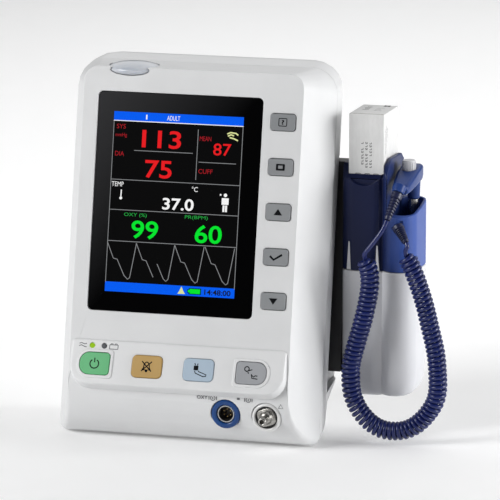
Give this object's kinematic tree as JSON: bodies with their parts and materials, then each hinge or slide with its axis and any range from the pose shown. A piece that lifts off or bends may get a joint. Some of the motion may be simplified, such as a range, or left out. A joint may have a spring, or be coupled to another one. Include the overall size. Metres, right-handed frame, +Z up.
{
  "type": "patient monitor",
  "caption": "Bedside vital-signs monitor with a leaning colour display, key bar, sensor sockets and a side thermometer module with a lift-out probe on a curly cord.",
  "frame": {"origin": "centre of the footprint, on the surface that the monitor stands on, the curly cord left out", "axes": "+Z up, -Y out of the display's side, +X to the display's right, where the thermometer module is"},
  "size_m": [0.2525, 0.1172, 0.24],
  "materials": {
    "white_housing": "fine moulded texture, satin",
    "collar_white": "smooth",
    "window_glass": "black printed border, clear middle",
    "lcd_face": "lit colour display",
    "carrier_black": "black moulded",
    "contact_block": "black, with small brass contacts",
    "circuit_board": "solder mask",
    "grey_key": "grey key, printed symbol",
    "green_key": "pad-printed symbol",
    "amber_key": "pad-printed symbol",
    "pale_blue_key": "pad-printed symbol",
    "mid_grey_key": "pad-printed symbol",
    "green_lamp": "lit",
    "grey_lamp": "unlit",
    "alarm_lens": "translucent diffuser",
    "socket_blue": "smooth",
    "chamber_blue": "satin",
    "probe_blue": "smooth",
    "ejector_white": "ribbed rim",
    "relief_rubber": "ribbed, satin",
    "cord_jacket": "glossy jacket",
    "carton_card": "printed white card",
    "foot_rubber": "matt",
    "steel": "brushed",
    "bright_metal": "turned",
    "plate_aluminium": "anodised",
    "stud_brass": "plated"
  },
  "bodies": {
    "root": {"front_shell": "white_housing", "rear_shell": "white_housing", "base_block": "white_housing", "battery_door": "white_housing", "key_bar": "white_housing", "cuff_collar": "collar_white", "display_window": "window_glass", "lcd_panel": "lcd_face", "display_carrier": "carrier_black", "speaker": "carrier_black", "ac_inlet": "carrier_black", "network_port": "carrier_black", "fuse_holder": "carrier_black", "battery_pack": "carrier_black", "spo2_contact_block": "contact_block", "main_board": "circuit_board", "side_key_board": "circuit_board", "bar_key_board": "circuit_board", "ac_lamp": "green_lamp", "battery_lamp": "grey_lamp", "alarm_lens": "alarm_lens", "spo2_ring": "socket_blue", "front_foot_left": "foot_rubber", "front_foot_right": "foot_rubber", "rear_foot_left": "foot_rubber", "rear_foot_right": "foot_rubber", "case_screw_1": "steel", "case_screw_2": "steel", "case_screw_3": "steel", "case_screw_4": "steel", "power_supply": "steel", "module_bracket": "carrier_black", "cuff_hose_fitting": "bright_metal", "cuff_pump": "bright_metal", "mounting_plate": "plate_aluminium", "ground_stud": "stud_brass", "thermometer_housing": "white_housing", "thermometer_back_cover": "white_housing", "thermometer_board": "circuit_board"},
    "key_help": {"key_help": "grey_key"},
    "key_print": {"key_print": "grey_key"},
    "key_up": {"key_up": "grey_key"},
    "key_ok": {"key_ok": "grey_key"},
    "key_down": {"key_down": "grey_key"},
    "power_button": {"power_button": "green_key"},
    "silence_button": {"silence_button": "amber_key"},
    "cuff_button": {"cuff_button": "pale_blue_key"},
    "trend_button": {"trend_button": "mid_grey_key"},
    "chamber": {"isolation_chamber": "chamber_blue", "probe_well": "chamber_blue", "socket_strain_relief": "relief_rubber", "cord_lead_probe": "cord_jacket", "cord_coil_probe": "cord_jacket", "cord_coil_socket": "cord_jacket", "cord_lead_socket": "cord_jacket"},
    "carton": {"probe_cover_carton": "carton_card"},
    "probe": {"probe_handle": "probe_blue", "probe_shaft": "steel", "probe_strain_relief": "relief_rubber"},
    "ejector": {"ejector_button": "ejector_white"}
  },
  "joints": [
    {"name": "key_help_press", "type": "slide", "parent": "root", "child": "key_help", "axis": [0, 0.9806, -0.1959], "range_m": [0, 0.001], "stiffness_N_per_m": 600, "springref_m": -0.0002},
    {"name": "key_print_press", "type": "slide", "parent": "root", "child": "key_print", "axis": [0, 0.9806, -0.1959], "range_m": [0, 0.001], "stiffness_N_per_m": 600, "springref_m": -0.0002},
    {"name": "key_up_press", "type": "slide", "parent": "root", "child": "key_up", "axis": [0, 0.9806, -0.1959], "range_m": [0, 0.001], "stiffness_N_per_m": 600, "springref_m": -0.0002},
    {"name": "key_ok_press", "type": "slide", "parent": "root", "child": "key_ok", "axis": [0, 0.9806, -0.1959], "range_m": [0, 0.001], "stiffness_N_per_m": 600, "springref_m": -0.0002},
    {"name": "key_down_press", "type": "slide", "parent": "root", "child": "key_down", "axis": [0, 0.9806, -0.1959], "range_m": [0, 0.001], "stiffness_N_per_m": 600, "springref_m": -0.0002},
    {"name": "power_button_press", "type": "slide", "parent": "root", "child": "power_button", "axis": [0, 0.9164, -0.4002], "range_m": [0, 0.0012], "stiffness_N_per_m": 700, "springref_m": -0.0002},
    {"name": "silence_button_press", "type": "slide", "parent": "root", "child": "silence_button", "axis": [0, 0.9164, -0.4002], "range_m": [0, 0.0012], "stiffness_N_per_m": 700, "springref_m": -0.0002},
    {"name": "cuff_button_press", "type": "slide", "parent": "root", "child": "cuff_button", "axis": [0, 0.9164, -0.4002], "range_m": [0, 0.0012], "stiffness_N_per_m": 700, "springref_m": -0.0002},
    {"name": "trend_button_press", "type": "slide", "parent": "root", "child": "trend_button", "axis": [0, 0.9164, -0.4002], "range_m": [0, 0.0012], "stiffness_N_per_m": 700, "springref_m": -0.0002},
    {"name": "chamber_lift", "type": "slide", "parent": "root", "child": "chamber", "axis": [0, 0, 1], "range_m": [0, 0.08]},
    {"name": "carton_lift", "type": "slide", "parent": "chamber", "child": "carton", "axis": [0, 0, 1], "range_m": [0, 0.08]},
    {"name": "probe_lift", "type": "slide", "parent": "chamber", "child": "probe", "axis": [0, 0, 1], "range_m": [0, 0.1]},
    {"name": "ejector_press", "type": "slide", "parent": "probe", "child": "ejector", "axis": [0, 0, -1], "range_m": [0, 0.003], "stiffness_N_per_m": 500, "springref_m": -0.0005}
  ]
}
